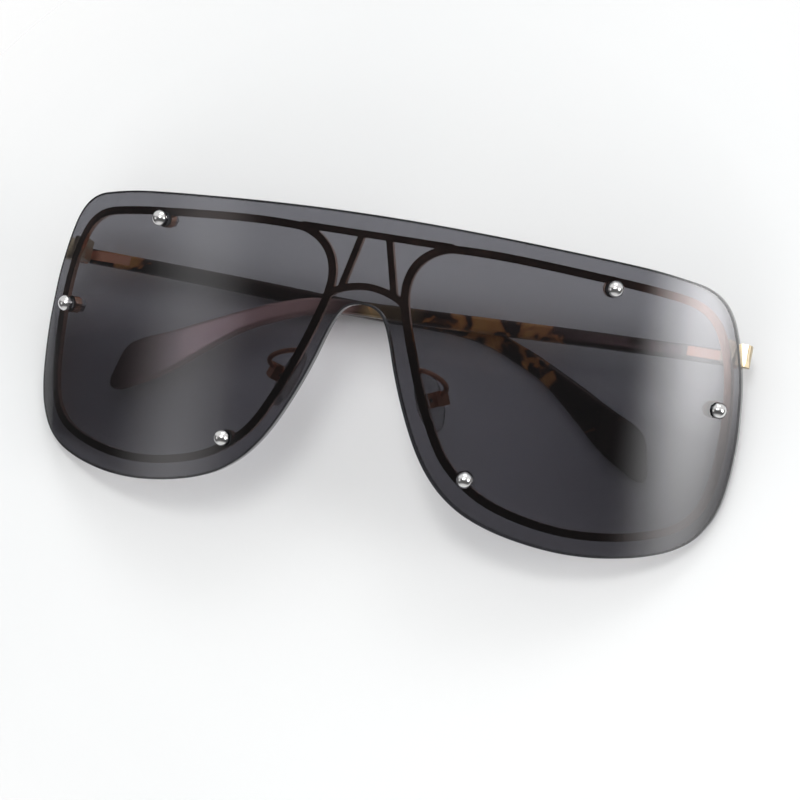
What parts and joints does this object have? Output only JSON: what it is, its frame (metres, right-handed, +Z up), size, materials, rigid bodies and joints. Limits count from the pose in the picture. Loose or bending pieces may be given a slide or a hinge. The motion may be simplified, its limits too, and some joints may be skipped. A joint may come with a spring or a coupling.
{
  "type": "sunglasses",
  "caption": "Oversized shield sunglasses: one wrapped grey lens screwed to thin gold rims with an A-shaped bridge, folding tortoiseshell temples and rocking nose pads.",
  "frame": {"origin": "middle of the footprint, on the surface that the folded glasses lie on", "axes": "+X across the lens towards image right, +Y towards the lens top edge, +Z up, out of the lens front"},
  "size_m": [0.148, 0.058, 0.0429],
  "materials": {
    "lens": "polished, grey tinted and see-through",
    "gold_metal": "polished pale gold plate",
    "polished_screw": "mirror polished",
    "steel": "gold-toned steel",
    "nylon": "plain",
    "tortoiseshell": "polished dark tortoiseshell with amber patches",
    "silicone": "clear soft"
  },
  "bodies": {
    "front": {"shield_lens": "lens", "lens_screws": "polished_screw", "lens_washers": "polished_screw", "lens_nuts": "polished_screw", "lens_bushes": "nylon", "lens_spacers": "nylon", "right_hinge_screw": "steel", "left_hinge_screw": "steel", "right_pad_pin": "steel", "left_pad_pin": "steel", "right_rim": "gold_metal", "left_rim": "gold_metal", "brow_bar": "gold_metal", "bridge_arch": "gold_metal", "right_strut": "gold_metal", "left_strut": "gold_metal", "right_end_piece": "gold_metal", "left_end_piece": "gold_metal", "right_front_hinge": "gold_metal", "left_front_hinge": "gold_metal", "right_pad_arm": "gold_metal", "left_pad_arm": "gold_metal", "right_pad_box": "gold_metal", "left_pad_box": "gold_metal"},
    "right_temple_arm": {"right_temple": "tortoiseshell", "right_temple_hinge": "gold_metal"},
    "left_temple_arm": {"left_temple": "tortoiseshell", "left_temple_hinge": "gold_metal"},
    "right_pad": {"right_nose_pad": "silicone"},
    "left_pad": {"left_nose_pad": "silicone"}
  },
  "joints": [
    {"name": "right_temple_fold", "type": "hinge", "parent": "front", "child": "right_temple_arm", "pos_m": [0.06963, 0.0198, 0.00779], "axis": [-0.0018, -0.9925, -0.1219], "range_deg": [0, 93]},
    {"name": "left_temple_fold", "type": "hinge", "parent": "front", "child": "left_temple_arm", "pos_m": [-0.06956, 0.02019, 0.00664], "axis": [0.0018, 0.9925, 0.1219], "range_deg": [0, 90.6]},
    {"name": "right_pad_rock", "type": "hinge", "parent": "front", "child": "right_pad", "pos_m": [0.01621, -0.00483, 0.02547], "axis": [-0.5389, -0.4683, 0.7002], "range_deg": [-10, 10]},
    {"name": "left_pad_rock", "type": "hinge", "parent": "front", "child": "left_pad", "pos_m": [-0.01658, -0.00474, 0.0252], "axis": [0.5246, -0.4713, 0.7089], "range_deg": [-10, 10]}
  ]
}
